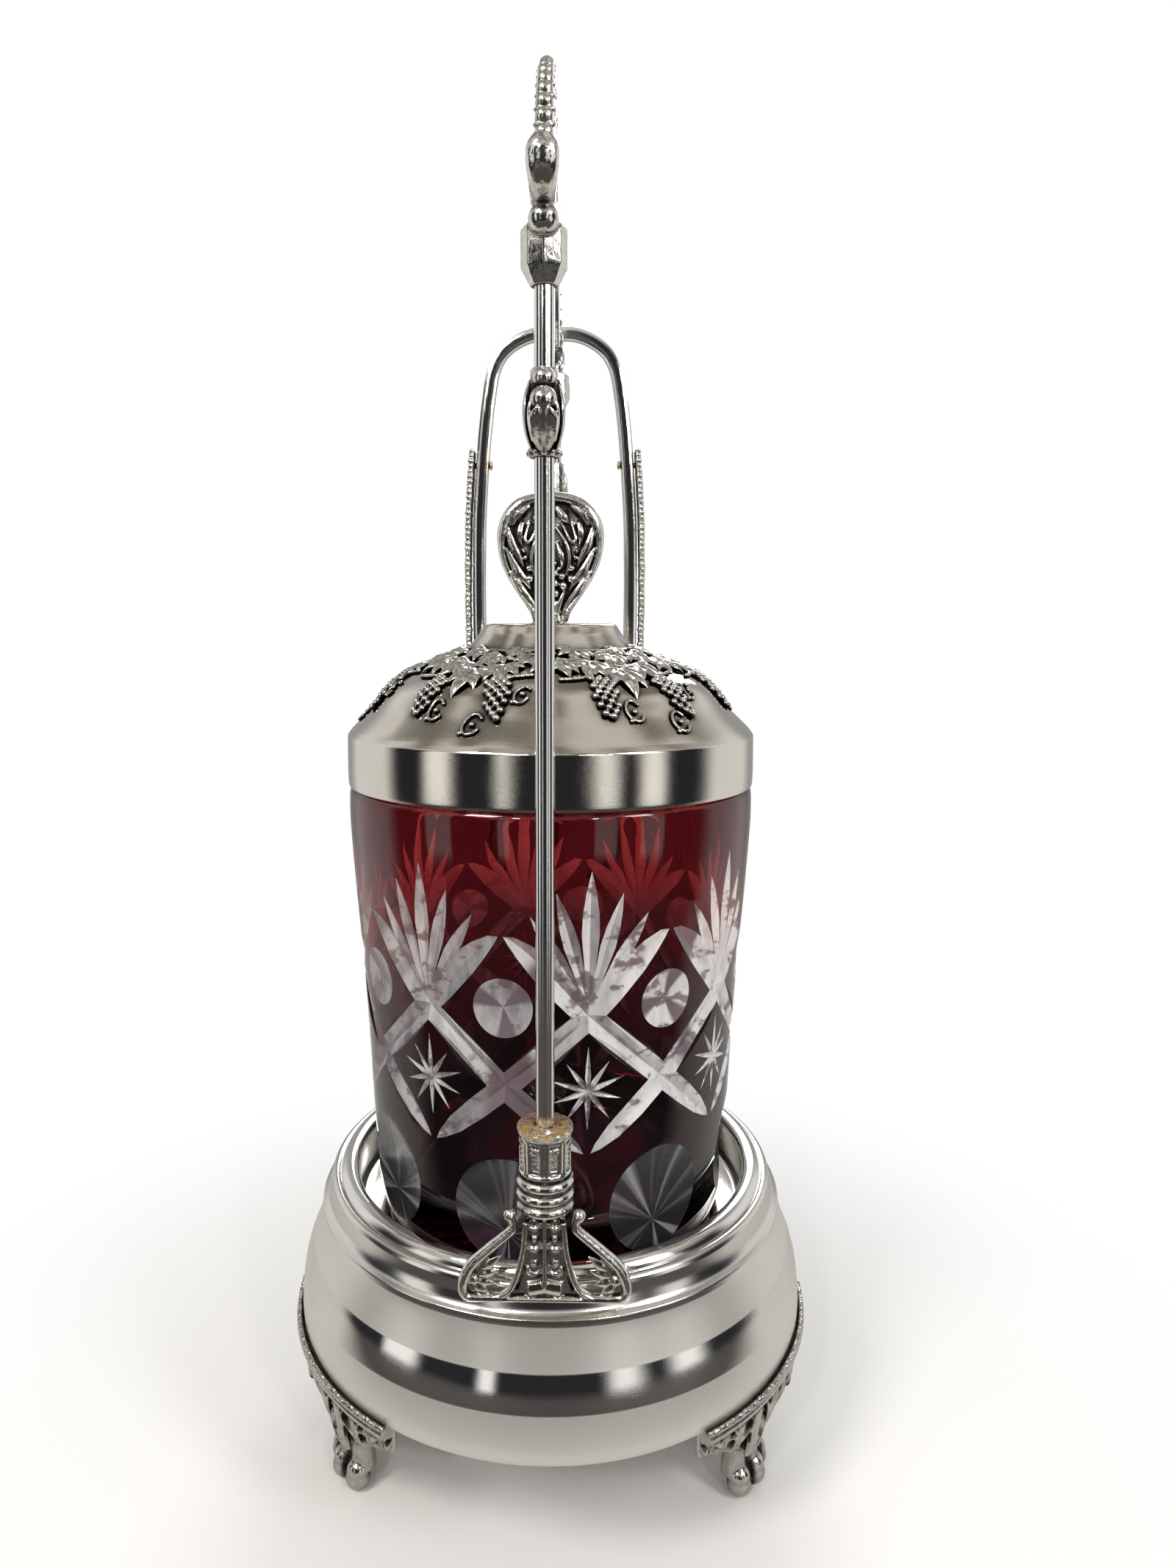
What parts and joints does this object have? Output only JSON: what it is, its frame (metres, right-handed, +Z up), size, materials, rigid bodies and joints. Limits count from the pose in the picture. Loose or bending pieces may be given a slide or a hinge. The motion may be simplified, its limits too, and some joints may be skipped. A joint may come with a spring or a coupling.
{
  "type": "pickle castor",
  "caption": "Footed silver-plated stand with an arched handle, a lidded cut-glass jar that lifts out, and spring tongs that hang on the handle's shoulder.",
  "frame": {"origin": "on the table, under the middle of the stand", "axes": "+Z up; the handle stands in the YZ plane, with its front post at -Y and the tongs outside its back post at +Y"},
  "size_m": [0.124, 0.1268, 0.3052],
  "materials": {
    "satin_silver": "satin silver plate with mirror-bright bands",
    "bright_silver": "polished silver plate",
    "cast_silver": "cast and plated, with dark tarnish in the recesses",
    "fastener": "plain turned brass",
    "ruby_glass": "ruby glass with clear cuts"
  },
  "bodies": {
    "frame": {"base_shell": "satin_silver", "tray": "satin_silver", "foot_back": "cast_silver", "foot_front_left": "cast_silver", "foot_front_right": "cast_silver", "bracket_back": "cast_silver", "bracket_front": "cast_silver", "post_rod_back": "bright_silver", "post_rod_front": "bright_silver", "post_washer_back": "fastener", "post_washer_front": "fastener", "post_nut_back": "fastener", "post_nut_front": "fastener", "post_hook_back": "cast_silver", "post_hook_front": "cast_silver", "arch": "cast_silver"},
    "jar": {"jar": "ruby_glass"},
    "lid": {"lid": "bright_silver", "finial": "cast_silver", "finial_washer": "fastener", "finial_nut": "fastener"},
    "tongs": {"tongs_bow": "bright_silver"},
    "tongs_left": {"tongs_bar_left": "bright_silver", "tongs_plate_left": "cast_silver", "tongs_claw_left": "cast_silver", "tongs_rivet_left_1": "bright_silver", "tongs_rivet_left_2": "bright_silver"},
    "tongs_right": {"tongs_bar_right": "bright_silver", "tongs_plate_right": "cast_silver", "tongs_claw_right": "cast_silver", "tongs_rivet_right_1": "bright_silver", "tongs_rivet_right_2": "bright_silver"}
  },
  "joints": [
    {"name": "jar_lift", "type": "slide", "parent": "frame", "child": "jar", "axis": [0, 0, 1], "range_m": [0, 0.025]},
    {"name": "lid_lift", "type": "slide", "parent": "jar", "child": "lid", "axis": [0, 0, 1], "range_m": [0, 0.03]},
    {"name": "tongs_lift", "type": "slide", "parent": "frame", "child": "tongs", "axis": [0, 0, 1], "range_m": [0, 0.015]},
    {"name": "tongs_squeeze_left", "type": "hinge", "parent": "tongs", "child": "tongs_left", "pos_m": [-0.01792, 0.05776, 0.25824], "axis": [0, -1, 0], "range_deg": [0, 3.8], "stiffness_Nm_per_rad": 3.6},
    {"name": "tongs_squeeze_right", "type": "hinge", "parent": "tongs", "child": "tongs_right", "pos_m": [0.01792, 0.05776, 0.25824], "axis": [0, 1, 0], "range_deg": [0, 3.8], "stiffness_Nm_per_rad": 3.6}
  ],
  "couplings": [
    {"joint": "tongs_squeeze_right", "follows": "tongs_squeeze_left", "ratio": 1}
  ]
}
